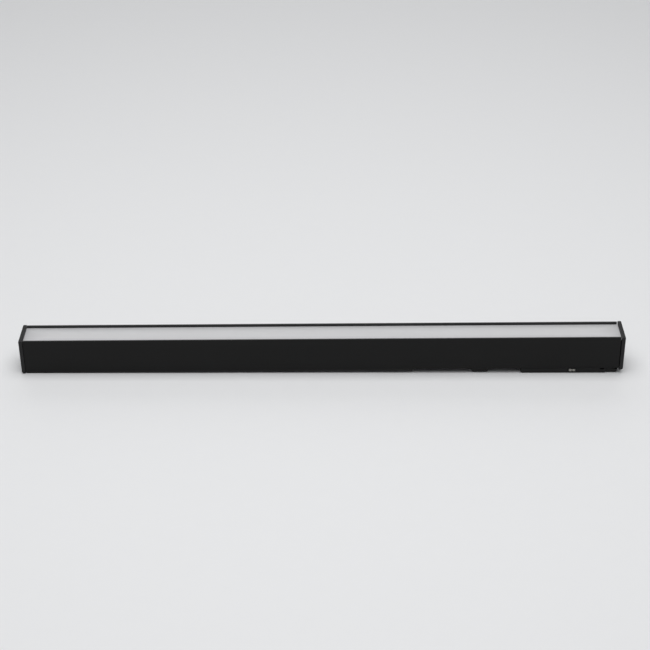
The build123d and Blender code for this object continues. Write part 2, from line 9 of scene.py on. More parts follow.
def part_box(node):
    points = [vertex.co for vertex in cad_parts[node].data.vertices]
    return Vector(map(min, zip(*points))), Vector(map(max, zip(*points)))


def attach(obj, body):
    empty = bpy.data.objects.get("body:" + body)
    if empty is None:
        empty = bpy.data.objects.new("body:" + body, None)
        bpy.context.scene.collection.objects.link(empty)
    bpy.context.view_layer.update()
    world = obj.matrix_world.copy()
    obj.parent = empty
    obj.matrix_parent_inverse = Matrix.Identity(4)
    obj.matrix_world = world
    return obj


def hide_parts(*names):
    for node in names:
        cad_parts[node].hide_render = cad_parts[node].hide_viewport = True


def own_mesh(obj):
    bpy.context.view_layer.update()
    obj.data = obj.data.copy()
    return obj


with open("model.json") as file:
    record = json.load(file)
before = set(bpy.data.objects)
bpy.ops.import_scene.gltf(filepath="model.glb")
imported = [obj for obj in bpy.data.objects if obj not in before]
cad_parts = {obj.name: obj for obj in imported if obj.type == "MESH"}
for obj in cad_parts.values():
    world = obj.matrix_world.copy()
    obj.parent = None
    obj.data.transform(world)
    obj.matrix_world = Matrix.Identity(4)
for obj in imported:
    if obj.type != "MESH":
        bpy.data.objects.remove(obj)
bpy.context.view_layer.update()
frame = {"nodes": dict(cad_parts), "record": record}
nodes = frame["nodes"]
mainBody = "light_bar"
mm = 0.001
print("frame loaded:", len(nodes), "pieces")


# node helpers, used by every material

def addNode(tree, kind, inputs=None, **settings):
    made = tree.nodes.new(kind)
    for key, value in settings.items():
        setattr(made, key, value)
    for key, value in (inputs or {}).items():
        if isinstance(value, bpy.types.NodeSocket):
            tree.links.new(value, made.inputs[key])
        else:
            made.inputs[key].default_value = value
    return made


def startMaterial(name, fixed):
    material = bpy.data.materials.new(name)
    material.use_nodes = True
    tree = material.node_tree
    shader = tree.nodes["Principled BSDF"]
    for key, value in fixed.items():
        shader.inputs[key].default_value = value
    coords = addNode(tree, "ShaderNodeTexCoord").outputs["Object"]
    return material, tree, shader, coords


def stretch(tree, coords, scale, rotation=(0, 0, 0)):
    turned = {"Vector": coords, "Scale": scale, "Rotation": rotation}
    return addNode(tree, "ShaderNodeMapping", turned).outputs["Vector"]


def noise(tree, coords, scale, detail=3.0, roughness=0.55):
    wanted = {"Vector": coords, "Scale": scale, "Detail": detail, "Roughness": roughness}
    return addNode(tree, "ShaderNodeTexNoise", wanted).outputs["Fac"]


def remap(tree, value, fromLow, fromHigh, low, high):
    wanted = {"Value": value, "From Min": fromLow, "From Max": fromHigh,
              "To Min": low, "To Max": high}
    return addNode(tree, "ShaderNodeMapRange", wanted, clamp=True).outputs["Result"]


def calc(tree, operation, first, second=0.0):
    return addNode(tree, "ShaderNodeMath", {0: first, 1: second}, operation=operation).outputs[0]


def mixColours(tree, factor, first, second):
    mix = addNode(tree, "ShaderNodeMix", {0: factor}, data_type="RGBA")
    for index, value in ((6, first), (7, second)):
        if isinstance(value, bpy.types.NodeSocket):
            tree.links.new(value, mix.inputs[index])
        else:
            mix.inputs[index].default_value = (*value, 1.0)
    return mix.outputs[2]


def bump(tree, height, strength, distance, before=None):
    wanted = {"Height": height, "Strength": strength, "Distance": distance}
    if before is not None:
        wanted["Normal"] = before
    return addNode(tree, "ShaderNodeBump", wanted).outputs["Normal"]


def feed(tree, shader, **sockets):
    names = {"colour": "Base Color", "roughness": "Roughness", "normal": "Normal",
             "metal": "Metallic"}
    for key, socket in sockets.items():
        tree.links.new(socket, shader.inputs[names[key]])


# materials

# the rim colour is a painted highlight on the lit top of the rim; its depth and inset are measured from
# the housing's top and side faces
anodised = {"dark": (0.0028, 0.0028, 0.0027), "light": (0.0048, 0.0048, 0.0047),
            "roughLow": 0.30, "roughHigh": 0.42, "specular": 0.2,
            "drawnLines": (5, 900, 900), "grainScale": 2600.0, "cloudScale": 22.0,
            "rim": (0.040, 0.040, 0.041), "rimDepth": 2.8 * mm, "rimInset": 0.25 * mm}


def makeAnodised():
    material, tree, shader, coords = startMaterial(
        "blackAnodised", {"Specular IOR Level": anodised["specular"]})
    drawLines = noise(tree, stretch(tree, coords, anodised["drawnLines"]), 1.6, 4.0, 0.6)
    grain = noise(tree, coords, anodised["grainScale"], 2.0)
    cloud = noise(tree, coords, anodised["cloudScale"], 3.0)
    tone = calc(tree, "ADD", calc(tree, "MULTIPLY", drawLines, 0.45),
                calc(tree, "MULTIPLY", cloud, 0.55))
    plain = mixColours(tree, remap(tree, tone, 0.3, 0.7, 0, 1), anodised["dark"], anodised["light"])
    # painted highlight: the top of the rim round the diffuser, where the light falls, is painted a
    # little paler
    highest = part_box("housing")[1]
    axes = addNode(tree, "ShaderNodeSeparateXYZ", {0: coords}).outputs
    inset = calc(tree, "SUBTRACT", highest.y, calc(tree, "ABSOLUTE", axes["Y"]))
    inside = remap(tree, inset, anodised["rimInset"], anodised["rimInset"] * 2, 0, 1)
    depth = calc(tree, "SUBTRACT", highest.z, axes["Z"])
    upper = remap(tree, depth, anodised["rimDepth"], anodised["rimDepth"] * 1.2, 1, 0)
    paintedRimHighlight = calc(tree, "MULTIPLY", calc(tree, "MULTIPLY", inside, upper),
                  remap(tree, drawLines, 0.3, 0.7, 0.75, 1))
    feed(tree, shader,
         colour=mixColours(tree, paintedRimHighlight, plain, anodised["rim"]),
         roughness=remap(tree, calc(tree, "ADD", grain, drawLines), 0.6, 1.4,
                         anodised["roughLow"], anodised["roughHigh"]),
         normal=bump(tree, grain, 0.3, 0.00005, bump(tree, drawLines, 0.3, 0.00006)))
    return material


def makeMoulded(name, dark, light, roughLow, roughHigh, grainScale, specular):
    material, tree, shader, coords = startMaterial(name, {"Specular IOR Level": specular})
    spark = addNode(tree, "ShaderNodeTexVoronoi", {"Vector": coords, "Scale": grainScale})
    pits = spark.outputs["Distance"]
    grain = noise(tree, coords, grainScale * 1.7, 2.0)
    cloud = noise(tree, coords, 35.0, 3.0)
    feed(tree, shader,
         colour=mixColours(tree, remap(tree, cloud, 0.3, 0.7, 0, 1), dark, light),
         roughness=remap(tree, calc(tree, "ADD", grain, cloud), 0.7, 1.3, roughLow, roughHigh),
         normal=bump(tree, pits, 0.4, 0.00007, bump(tree, grain, 0.25, 0.00005)))
    return material


# the rim colour and the rim and end fades give the painted shade near the black walls and the end caps
opal = {"body": (0.590, 0.590, 0.600), "rim": (0.34, 0.34, 0.35),
        "rimFade": 12 * mm, "rimDepth": 0.6, "endFade": 30 * mm, "endDepth": 0.55,
        "specular": 0.35, "glow": 0.35, "glowReach": 4 * mm, "roughLow": 0.42, "roughHigh": 0.55,
        "streaks": (8, 500, 500), "frostScale": 3200.0}


# frosted plate: paler in the middle, with painted shade that darkens its colour near the black walls
# and the end caps, where they keep the light off
def makeOpal():
    material, tree, shader, coords = startMaterial(
        "opalDiffuser", {"Specular IOR Level": opal["specular"], "Subsurface Weight": opal["glow"],
                         "Subsurface Scale": opal["glowReach"], "Subsurface Radius": (1.0, 1.0, 1.0)})
    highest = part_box("diffuser")[1]
    axes = addNode(tree, "ShaderNodeSeparateXYZ", {0: coords}).outputs
    across = calc(tree, "SUBTRACT", highest.y, calc(tree, "ABSOLUTE", axes["Y"]))
    along = calc(tree, "SUBTRACT", highest.x, calc(tree, "ABSOLUTE", axes["X"]))
    # painted shade: darker near the side walls and near the ends
    nearRim = remap(tree, across, 0, opal["rimFade"], 1, 0)
    nearEnd = remap(tree, along, 0, opal["endFade"], 1, 0)
    nearRim = calc(tree, "MULTIPLY", calc(tree, "POWER", nearRim, 2.0), opal["rimDepth"])
    nearEnd = calc(tree, "MULTIPLY", calc(tree, "POWER", nearEnd, 2.0), opal["endDepth"])
    edge = calc(tree, "MAXIMUM", nearRim, nearEnd)
    streak = noise(tree, stretch(tree, coords, opal["streaks"]), 1.3, 3.0)
    frost = noise(tree, coords, opal["frostScale"], 2.0)
    pale = mixColours(tree, streak, tuple(c * 0.975 for c in opal["body"]), opal["body"])
    feed(tree, shader,
         colour=mixColours(tree, edge, pale, opal["rim"]),
         roughness=remap(tree, frost, 0.3, 0.7, opal["roughLow"], opal["roughHigh"]),
         normal=bump(tree, frost, 0.15, 0.00004, bump(tree, streak, 0.04, 0.00004)))
    return material


def makeMetal(name, colour, roughLow, roughHigh, grainStretch, dirt=0.85):
    material, tree, shader, coords = startMaterial(name, {"Metallic": 1.0})
    scratch = noise(tree, stretch(tree, coords, grainStretch), 1.0, 4.0, 0.65)
    cloud = noise(tree, coords, 240.0, 2.0)
    worn = tuple(c * dirt for c in colour)
    feed(tree, shader,
         colour=mixColours(tree, remap(tree, cloud, 0.35, 0.65, 0, 1), worn, colour),
         roughness=remap(tree, scratch, 0.3, 0.7, roughLow, roughHigh),
         normal=bump(tree, scratch, 0.12, 0.00002))
    return material


def makeSmooth(name, colour, roughness, specular=0.5, grain=0.06, coat=0.0, tint=0.9):
    material, tree, shader, coords = startMaterial(
        name, {"Specular IOR Level": specular, "Coat Weight": coat, "Coat Roughness": 0.1})
    peel = noise(tree, coords, 900.0, 3.0)
    cloud = noise(tree, coords, 110.0, 3.0)
    shade = tuple(c * tint for c in colour)
    feed(tree, shader,
         colour=mixColours(tree, remap(tree, cloud, 0.3, 0.7, 0, 1), shade, colour),
         roughness=remap(tree, peel, 0.3, 0.7, roughness * 0.85, roughness * 1.15),
         normal=bump(tree, peel, grain, 0.00005))
    return material


finishes = {
    "black_anodised": makeAnodised(),
    "black_cap_plastic": makeMoulded("blackCapPlastic", (0.020, 0.020, 0.0204),
                                     (0.027, 0.027, 0.0275), 0.44, 0.58, 2400.0, 0.14),
    "black_adapter_plastic": makeMoulded("blackAdapterPlastic", (0.013, 0.013, 0.013),
                                         (0.018, 0.018, 0.018), 0.38, 0.52, 3000.0, 0.14),
    "opal_diffuser": makeOpal(),
    "black_screw": makeMetal("blackOxide", (0.05, 0.05, 0.052), 0.35, 0.55, (900, 900, 900)),
    "plain_screw": makeMetal("zincSteel", (0.62, 0.63, 0.65), 0.22, 0.4, (700, 700, 700)),
    "white_board": makeSmooth("whiteSolderMask", (0.84, 0.84, 0.82), 0.3, coat=0.2),
    "led_package": makeSmooth("ledFrame", (0.86, 0.85, 0.82), 0.35),
    "thermal_tape": makeSmooth("greyTape", (0.48, 0.5, 0.54), 0.75, 0.2),
    "reflector_film": makeSmooth("whiteFilm", (0.9, 0.9, 0.9), 0.6, 0.3),
    "grommet_rubber": makeSmooth("blackRubber", (0.018, 0.018, 0.018), 0.7, 0.25),
    "magnet_nickel": makeMetal("magnetNickel", (0.66, 0.65, 0.62), 0.14, 0.26, (60, 900, 900)),
    "tray_plastic": makeSmooth("naturalPlastic", (0.74, 0.72, 0.66), 0.45),
    "driver_board": makeSmooth("greenSolderMask", (0.015, 0.12, 0.035), 0.28, coat=0.3),
    "ferrite": makeSmooth("ferrite", (0.05, 0.05, 0.055), 0.5, 0.4, grain=0.25),
    "capacitor_can": makeSmooth("capacitorSleeve", (0.02, 0.02, 0.035), 0.25),
    "chip_resin": makeSmooth("chipResin", (0.022, 0.022, 0.023), 0.55, grain=0.2),
    "terminal_plastic": makeSmooth("terminalPlastic", (0.8, 0.8, 0.78), 0.35),
    "wire_red": makeSmooth("redInsulation", (0.42, 0.012, 0.01), 0.32),
    "wire_black": makeSmooth("blackInsulation", (0.015, 0.015, 0.016), 0.32),
    "busbar_brass": makeMetal("tinnedBrass", (0.78, 0.62, 0.34), 0.2, 0.38, (40, 800, 800)),
    "contact_nickel": makeMetal("contactNickel", (0.36, 0.35, 0.325), 0.28, 0.42, (800, 60, 800)),
    "spring_steel": makeMetal("springSteel", (0.5, 0.5, 0.52), 0.2, 0.36, (50, 700, 700)),
}
# every plain piece of the frame gets its own finish
for part in frame["record"]["subparts"]:
    meshData = nodes[part["node"]].data
    meshData.materials.clear()
    meshData.materials.append(finishes[part["material_slot"]])
print("materials:", len(finishes))


# shape helpers: where things sit is read from the frame's own pieces

# the box of each separate solid in a piece, from left to right
def solidBoxes(nodeName):
    work = bmesh.new()
    work.from_mesh(nodes[nodeName].data)
    bmesh.ops.remove_doubles(work, verts=work.verts, dist=0.001 * mm)
    left = set(work.verts)
    boxes = []
    while left:
        reach = [left.pop()]
        corners = []
        while reach:
            vert = reach.pop()
            corners.append(vert.co.copy())
            for edge in vert.link_edges:
                other = edge.other_vert(vert)
                if other in left:
                    left.remove(other)
                    reach.append(other)
        boxes.append(tuple(Vector([pick(c[axis] for c in corners) for axis in range(3)])
                           for pick in (min, max)))
    work.free()
    return sorted(boxes, key=lambda box: (round(box[0].x, 5), round(box[0].y, 5)))


# the middle of a box at a height of its own
def boxSeat(low, high, z):
    return Vector(((low.x + high.x) / 2, (low.y + high.y) / 2, z))


def newTree(name, sizes):
    tree = bpy.data.node_groups.new(name, "GeometryNodeTree")
    tree.is_modifier = True
    sockets = tree.interface
    sockets.new_socket("Geometry", in_out="OUTPUT", socket_type="NodeSocketGeometry")
    sockets.new_socket("Geometry", in_out="INPUT", socket_type="NodeSocketGeometry")
    kinds = {int: "NodeSocketInt", float: "NodeSocketFloat", tuple: "NodeSocketVector"}
    for label, value in sizes.items():
        made = sockets.new_socket(label, in_out="INPUT", socket_type=kinds[type(value)])
        made.default_value = value
    sockets.new_socket("Finish", in_out="INPUT", socket_type="NodeSocketMaterial")
    return tree, tree.nodes.new("NodeGroupInput").outputs


# sets the shape on every point it is given, as plain mesh in one finish
def endTree(tree, given, shape, turn=(0, 0, 0)):
    wanted = {"Points": given["Geometry"], "Instance": shape, "Rotation": turn}
    placed = addNode(tree, "GeometryNodeInstanceOnPoints", wanted).outputs[0]
    real = addNode(tree, "GeometryNodeRealizeInstances", {0: placed}).outputs[0]
    dressed = addNode(tree, "GeometryNodeSetMaterial", {"Geometry": real, "Material": given["Finish"]})
    tree.links.new(dressed.outputs[0], tree.nodes.new("NodeGroupOutput").inputs[0])
    return tree


def joined(tree, *parts):
    join = tree.nodes.new("GeometryNodeJoinGeometry")
    for part in parts:
        tree.links.new(part, join.inputs[0])
    return join.outputs[0]


def moved(tree, geometry, offset=(0, 0, 0), turn=(0, 0, 0), scale=(1, 1, 1)):
    wanted = {"Geometry": geometry, "Translation": offset, "Rotation": turn, "Scale": scale}
    return addNode(tree, "GeometryNodeTransform", wanted).outputs[0]


# solids are cut or joined at a thousand times their size, where small shapes stay exact
def combine(tree, operation, *parts):
    cut = tree.nodes.new("GeometryNodeMeshBoolean")
    cut.operation = operation
    cut.solver = "MANIFOLD"
    grown = [moved(tree, part, scale=(1 / mm,) * 3) for part in parts]
    if operation == "DIFFERENCE":
        tree.links.new(grown.pop(0), cut.inputs["Mesh 1"])
    for part in grown:
        tree.links.new(part, cut.inputs["Mesh 2"])
    return moved(tree, cut.outputs[0], scale=(mm,) * 3)


def xyz(tree, x=0.0, y=0.0, z=0.0):
    return addNode(tree, "ShaderNodeCombineXYZ", {0: x, 1: y, 2: z}).outputs[0]


def roundBar(tree, sides, lowRadius, highRadius, height):
    wanted = {"Vertices": sides, "Radius Bottom": lowRadius, "Radius Top": highRadius, "Depth": height}
    return addNode(tree, "GeometryNodeMeshCone", wanted).outputs["Mesh"]


def block(tree, x, y, z):
    return addNode(tree, "GeometryNodeMeshCube", {"Size": xyz(tree, x, y, z)}).outputs["Mesh"]


def circle(tree, sides, radius):
    wanted = {"Resolution": sides, "Radius": radius}
    return addNode(tree, "GeometryNodeCurvePrimitiveCircle", wanted, mode="RADIUS").outputs[0]


def spiral(tree, sides, turns, radius, height):
    wanted = {"Resolution": sides, "Rotations": turns, "Start Radius": radius, "End Radius": radius,
              "Height": height}
    return addNode(tree, "GeometryNodeCurveSpiral", wanted).outputs[0]


def swept(tree, path, outline):
    wanted = {"Curve": path, "Profile Curve": outline, "Fill Caps": True}
    return addNode(tree, "GeometryNodeCurveToMesh", wanted).outputs[0]


def addObject(name, data):
    made = bpy.data.objects.new(name, data)
    bpy.context.scene.collection.objects.link(made)
    return made


# applies every modifier and smooths what isn't an edge
def settle(piece, smoothBelow):
    start = piece.data
    depsgraph = bpy.context.evaluated_depsgraph_get()
    result = bpy.data.meshes.new_from_object(piece.evaluated_get(depsgraph))
    piece.modifiers.clear()
    piece.data = result
    bpy.data.meshes.remove(start)
    result.name = piece.name
    result.shade_smooth()
    result.set_sharp_from_angle(angle=math.radians(smoothBelow))


# runs a tree on a few points and keeps the result as a plain mesh
def grow(name, tree, points, sizes, finish, smoothBelow=32):
    start = bpy.data.meshes.new(name)
    start.from_pydata([tuple(point) for point in points], [], [])
    piece = addObject(name, start)
    modifier = piece.modifiers.new("grow", "NODES")
    modifier.node_group = tree
    wanted = {**sizes, "Finish": finish}
    for item in tree.interface.items_tree:
        if item.in_out == "INPUT" and item.name in wanted:
            modifier[item.identifier] = wanted[item.name]
    settle(piece, smoothBelow)
    return piece


def keep(piece, slotName, *replaced, body=mainBody):
    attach(piece, body)
    if replaced:
        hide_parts(*replaced)


# screws: one tree makes every set, each on the places of its own plain solids

# shares of the core's radius, of the head's height and radius, or of the thread's pitch
screwShape = {"headSides": 32, "shankSides": 20, "tipLength": 0.8, "tipEnd": 0.45,
              "recessRadius": 0.62, "recessDepth": 0.75, "recessEnd": 0.35, "wingWidth": 0.3,
              "ridge": 0.3, "unthreaded": 1.1}


def screwTree():
    tree, given = newTree("screwSet", {
        "Head Radius": 0.002, "Head Height": 0.001, "Under Radius": 0.002, "Rim Share": 0.5,
        "Crown Share": 0.75, "Core Radius": 0.001, "Length": 0.006, "Pitch": 0.0008,
        "Recess Radius": 0.001, "Facing": (0.0, 0.0, 1.0), "Seed": 0})
    headRadius, headHeight = given["Head Radius"], given["Head Height"]
    length, core = given["Length"], given["Core Radius"]
    underHeight = calc(tree, "MULTIPLY", headHeight, given["Rim Share"])
    headSides, shankSides = screwShape["headSides"], screwShape["shankSides"]
    under = roundBar(tree, headSides, given["Under Radius"], headRadius, underHeight)
    under = moved(tree, under, xyz(tree, z=calc(tree, "MULTIPLY", headHeight, -1.0)))
    crownHeight = calc(tree, "SUBTRACT", headHeight, underHeight)
    crownRadius = calc(tree, "MULTIPLY", headRadius, given["Crown Share"])
    crown = roundBar(tree, headSides, headRadius, crownRadius, crownHeight)
    crown = moved(tree, crown, xyz(tree, z=calc(tree, "MULTIPLY", crownHeight, -1.0)))
    shankLength = calc(tree, "SUBTRACT", length, calc(tree, "MULTIPLY", headHeight, 0.5))
    tipLength = calc(tree, "MULTIPLY", core, screwShape["tipLength"])
    shank = roundBar(tree, shankSides, core, core, calc(tree, "SUBTRACT", shankLength, tipLength))
    shank = moved(tree, shank, xyz(tree, z=calc(tree, "SUBTRACT", tipLength, length)))
    tipEnd = calc(tree, "MULTIPLY", core, screwShape["tipEnd"])
    tip = roundBar(tree, shankSides, tipEnd, core, tipLength)
    tip = moved(tree, tip, xyz(tree, z=calc(tree, "MULTIPLY", length, -1.0)))
    solid = combine(tree, "UNION", under, crown, shank, tip)
    # the cross recess: two tapered wedges
    recess = given["Recess Radius"]
    recessDepth = calc(tree, "MULTIPLY", headHeight, screwShape["recessDepth"])
    recessEnd = calc(tree, "MULTIPLY", recess, screwShape["recessEnd"])
    wedge = roundBar(tree, 4, recessEnd, recess, recessDepth)
    wedge = moved(tree, wedge, turn=(0, 0, math.radians(45)))
    lift = calc(tree, "SUBTRACT", 0.02 * mm, recessDepth)
    width = screwShape["wingWidth"]
    along = moved(tree, wedge, xyz(tree, z=lift), scale=(1.0, width, 1.0))
    across = moved(tree, wedge, xyz(tree, z=lift), scale=(width, 1.0, 1.0))
    solid = combine(tree, "DIFFERENCE", solid, along, across)
    # the thread: a ridge wound on the core, from the tip nearly up to the head
    unthreaded = calc(tree, "MULTIPLY", core, screwShape["unthreaded"])
    threadLength = calc(tree, "SUBTRACT", calc(tree, "SUBTRACT", length, headHeight), unthreaded)
    turns = calc(tree, "DIVIDE", threadLength, given["Pitch"])
    ridge = circle(tree, 4, calc(tree, "MULTIPLY", given["Pitch"], screwShape["ridge"]))
    thread = swept(tree, spiral(tree, 14, turns, core, threadLength), ridge)
    thread = moved(tree, thread, xyz(tree, z=calc(tree, "SUBTRACT", tipLength, length)))
    # each screw stops at its own angle
    twist = addNode(tree, "FunctionNodeRandomValue", {"Seed": given["Seed"]}, data_type="FLOAT")
    twist.inputs[2].default_value, twist.inputs[3].default_value = 0.0, math.tau / 4
    aim = addNode(tree, "FunctionNodeAlignRotationToVector", {"Vector": given["Facing"]}, axis="Z")
    spin = addNode(tree, "FunctionNodeEulerToRotation", {0: xyz(tree, z=twist.outputs[1])}).outputs[0]
    turned = addNode(tree, "FunctionNodeRotateRotation", {0: aim.outputs[0], 1: spin},
                     rotation_space="LOCAL").outputs[0]
    return endTree(tree, given, joined(tree, solid, thread), turned)


pan = {"Rim Share": 0.5, "Crown Share": 0.74}
countersunk = {"Rim Share": 0.86, "Crown Share": 0.97}
screws = {
    "end_cap_screws_left": {"facing": (-1.0, 0.0, 0.0), "head": 1.7, "core": 1.2, "form": countersunk,
                            "pitch": 0.8, "slot": "black_screw"},
    "end_cap_screws_right": {"facing": (1.0, 0.0, 0.0), "head": 1.7, "core": 1.2, "form": countersunk,
                             "pitch": 0.8, "slot": "black_screw"},
    "adapter_base_screws": {"facing": (0.0, 0.0, -1.0), "head": 1.3, "core": 0.85, "form": countersunk,
                            "pitch": 0.6, "slot": "black_screw"},
    "led_board_screws": {"facing": (0.0, 0.0, 1.0), "head": 1.8, "core": 1.2, "form": pan,
                         "pitch": 0.8, "slot": "plain_screw"},
    "adapter_head_screws": {"facing": (0.0, 0.0, 1.0), "head": 1.5, "core": 0.85, "form": pan,
                            "pitch": 0.6, "slot": "plain_screw"},
    "driver_tray_screws": {"facing": (0.0, 0.0, -1.0), "head": 1.8, "core": 1.2, "form": pan,
                           "pitch": 0.8, "slot": "plain_screw"},
    "lock_keeper_screw": {"facing": (0.0, 0.0, 1.0), "head": 0.9, "core": 0.8, "form": pan,
                          "pitch": 0.6, "slot": "plain_screw", "body": "rail_lock"},
    "lock_leaf_screw": {"facing": (0.0, 0.0, 1.0), "head": 1.2, "core": 0.8, "form": pan,
                        "pitch": 0.6, "slot": "plain_screw"},
}


def makeScrews():
    tree = screwTree()
    for seed, (nodeName, screw) in enumerate(screws.items()):
        facing = Vector(screw["facing"])
        heads = []
        for low, high in solidBoxes(nodeName):
            centre, size = (low + high) / 2, high - low
            length = abs(size.dot(facing))
            heads.append(centre + facing * length / 2)
            headRadius = min(size) / 2
        under = headRadius if screw["form"] is pan else screw["core"] * mm
        sizes = {**screw["form"], "Head Radius": headRadius, "Head Height": screw["head"] * mm,
                 "Under Radius": under, "Core Radius": screw["core"] * mm, "Length": length,
                 "Pitch": screw["pitch"] * mm, "Recess Radius": headRadius * screwShape["recessRadius"],
                 "Facing": screw["facing"], "Seed": seed}
        piece = grow(nodeName + "_detailed", tree, heads, sizes, finishes[screw["slot"]])
        keep(piece, screw["slot"], nodeName, body=screw.get("body", mainBody))


makeScrews()
print("screws made:", len(screws), "sets")


# LED rows: a cut frame, a yellow phosphor window and two solder pads for each

# shares of the LED's width or height, or of its well; padReach and padHeight are in mm
leds = {"wellRadius": 0.41, "wellFloor": 0.82, "wellDepth": 0.45, "notch": 0.16,
        "windowRadius": 0.86, "windowDepth": 0.6, "padWidth": 0.8, "padReach": 0.32,
        "padHeight": 0.16, "smoothBelow": 20}


def ledFrameTree():
    tree, given = newTree("ledFrames", {
        "Length": 0.0035, "Width": 0.0028, "Height": 0.0008, "Well Radius": 0.0011,
        "Well Depth": 0.0004, "Notch": 0.0003})
    height = given["Height"]
    body = block(tree, given["Length"], given["Width"], height)
    body = moved(tree, body, xyz(tree, z=calc(tree, "MULTIPLY", height, 0.5)))
    wellFloor = calc(tree, "MULTIPLY", given["Well Radius"], leds["wellFloor"])
    well = roundBar(tree, 16, wellFloor, given["Well Radius"], given["Well Depth"])
    sink = calc(tree, "SUBTRACT", height, given["Well Depth"])
    well = moved(tree, well, xyz(tree, z=calc(tree, "ADD", sink, 0.01 * mm)))
    # a cut corner marks the cathode
    mark = block(tree, given["Notch"], given["Notch"], calc(tree, "MULTIPLY", height, 3.0))
    mark = moved(tree, mark, xyz(tree, calc(tree, "MULTIPLY", given["Length"], 0.5),
                                 calc(tree, "MULTIPLY", given["Width"], 0.5)),
                 turn=(0, 0, math.radians(45)))
    return endTree(tree, given, combine(tree, "DIFFERENCE", body, well, mark))


def ledWindowTree():
    tree, given = newTree("ledWindows", {"Radius": 0.001, "Thickness": 0.0002, "Lift": 0.0005})
    disc = roundBar(tree, 20, given["Radius"], calc(tree, "MULTIPLY", given["Radius"], 0.94),
                    given["Thickness"])
    return endTree(tree, given, moved(tree, disc, xyz(tree, z=given["Lift"])))


def solderTree():
    tree, given = newTree("solderPads", {"Reach": 0.0003, "Width": 0.002, "Height": 0.0002,
                                         "Half Length": 0.00175})
    # a four-sided cone turned square is 1.414 across its foot; half of each pad is under the LED
    pad = roundBar(tree, 4, 1.0, 0.55, 1.0)
    pad = moved(tree, pad, turn=(0, 0, math.radians(45)))
    pad = moved(tree, pad, scale=xyz(tree, calc(tree, "MULTIPLY", given["Reach"], 1.414),
                                     calc(tree, "MULTIPLY", given["Width"], 0.707), given["Height"]))
    right = moved(tree, pad, xyz(tree, given["Half Length"]))
    left = moved(tree, pad, xyz(tree, calc(tree, "MULTIPLY", given["Half Length"], -1.0)))
    return endTree(tree, given, joined(tree, right, left))


def makeLedRows():
    frames, windows, solder = ledFrameTree(), ledWindowTree(), solderTree()
    phosphor = makeSmooth("phosphor", (0.86, 0.66, 0.12), 0.35, 0.5, grain=0.1)
    tin = makeMetal("solder", (0.62, 0.63, 0.64), 0.2, 0.36, (600, 600, 600))
    for side in ("left", "right"):
        boxes = solidBoxes("leds_" + side)
        seats = [boxSeat(low, high, low.z) for low, high in boxes]
        size = boxes[0][1] - boxes[0][0]
        well = size.y * leds["wellRadius"]
        depth = size.z * leds["wellDepth"]
        rows = (
            ("led_frames_" + side, frames, finishes["led_package"], ["leds_" + side],
             {"Length": size.x, "Width": size.y, "Height": size.z, "Well Radius": well,
              "Well Depth": depth, "Notch": size.y * leds["notch"]}),
            ("led_windows_" + side, windows, phosphor, [],
             {"Radius": well * leds["windowRadius"], "Thickness": depth * leds["windowDepth"],
              "Lift": size.z - depth - 0.01 * mm}),
            ("led_solder_" + side, solder, tin, [],
             {"Reach": leds["padReach"] * mm, "Width": size.y * leds["padWidth"],
              "Height": leds["padHeight"] * mm, "Half Length": size.x / 2}))
        for name, tree, finish, replaced, sizes in rows:
            piece = grow(name, tree, seats, sizes, finish, leds["smoothBelow"])
            keep(piece, "led_package", *replaced)


makeLedRows()
print("LED rows made")


# sprung contacts: rounded shoes and wave springs behind them

# sizes are in mm; keep is the share of its length that a spring keeps when its shoe is pressed in
contacts = {"edge": 0.18, "tipSides": 12, "crown": 0.9, "shoulder": 1.0, "shoulderDepth": 1.5,
            "endGap": 0.12, "waves": 4, "wavePoints": 65, "stripWidth": 1.5,
            "stripThickness": 0.22, "swing": 0.62, "keep": 0.76, "smoothBelow": 50}


# a smooth wave from the busbar to the shoe, with the strip's edges up and down
def waveTree():
    tree, given = newTree("waveSpring", {
        "Length": 0.005, "Swing": 0.0006, "Waves": 4, "Width": 0.0015, "Thickness": 0.0002,
        "Direction": 1.0})
    reach = calc(tree, "MULTIPLY", given["Length"], given["Direction"])
    line = addNode(tree, "GeometryNodeCurvePrimitiveLine", {
        "Start": (0, 0, 0), "End": xyz(tree, y=reach)}).outputs[0]
    line = addNode(tree, "GeometryNodeResampleCurve", {
        "Curve": line, "Count": contacts["wavePoints"]}).outputs[0]
    share = addNode(tree, "GeometryNodeSplineParameter").outputs["Factor"]
    angle = calc(tree, "MULTIPLY", share, calc(tree, "MULTIPLY", given["Waves"], math.tau))
    side = calc(tree, "MULTIPLY", calc(tree, "SINE", angle), given["Swing"])
    line = addNode(tree, "GeometryNodeSetPosition", {
        "Geometry": line, "Offset": xyz(tree, side)}).outputs[0]
    line = addNode(tree, "GeometryNodeSetCurveNormal", {"Curve": line}, mode="Z_UP").outputs[0]
    strip = addNode(tree, "GeometryNodeCurvePrimitiveQuadrilateral", {
        "Width": given["Thickness"], "Height": given["Width"]}, mode="RECTANGLE").outputs[0]
    return endTree(tree, given, swept(tree, line, strip))


def extruded(name, outline, lowZ, highZ, finish, edge):
    work = bmesh.new()
    ring = [work.verts.new((x, y, lowZ)) for x, y in outline]
    base = work.faces.new(ring)
    risen = bmesh.ops.extrude_face_region(work, geom=[base])["geom"]
    bmesh.ops.translate(work, vec=(0, 0, highZ - lowZ),
                        verts=[item for item in risen if isinstance(item, bmesh.types.BMVert)])
    bmesh.ops.recalc_face_normals(work, faces=work.faces)
    mesh = bpy.data.meshes.new(name)
    work.to_mesh(mesh)
    work.free()
    mesh.materials.append(finish)
    piece = addObject(name, mesh)
    soften = piece.modifiers.new("edge", "BEVEL")
    soften.width = edge
    soften.segments = 3
    soften.limit_method = "ANGLE"
    soften.angle_limit = math.radians(40)
    settle(piece, 32)
    return piece


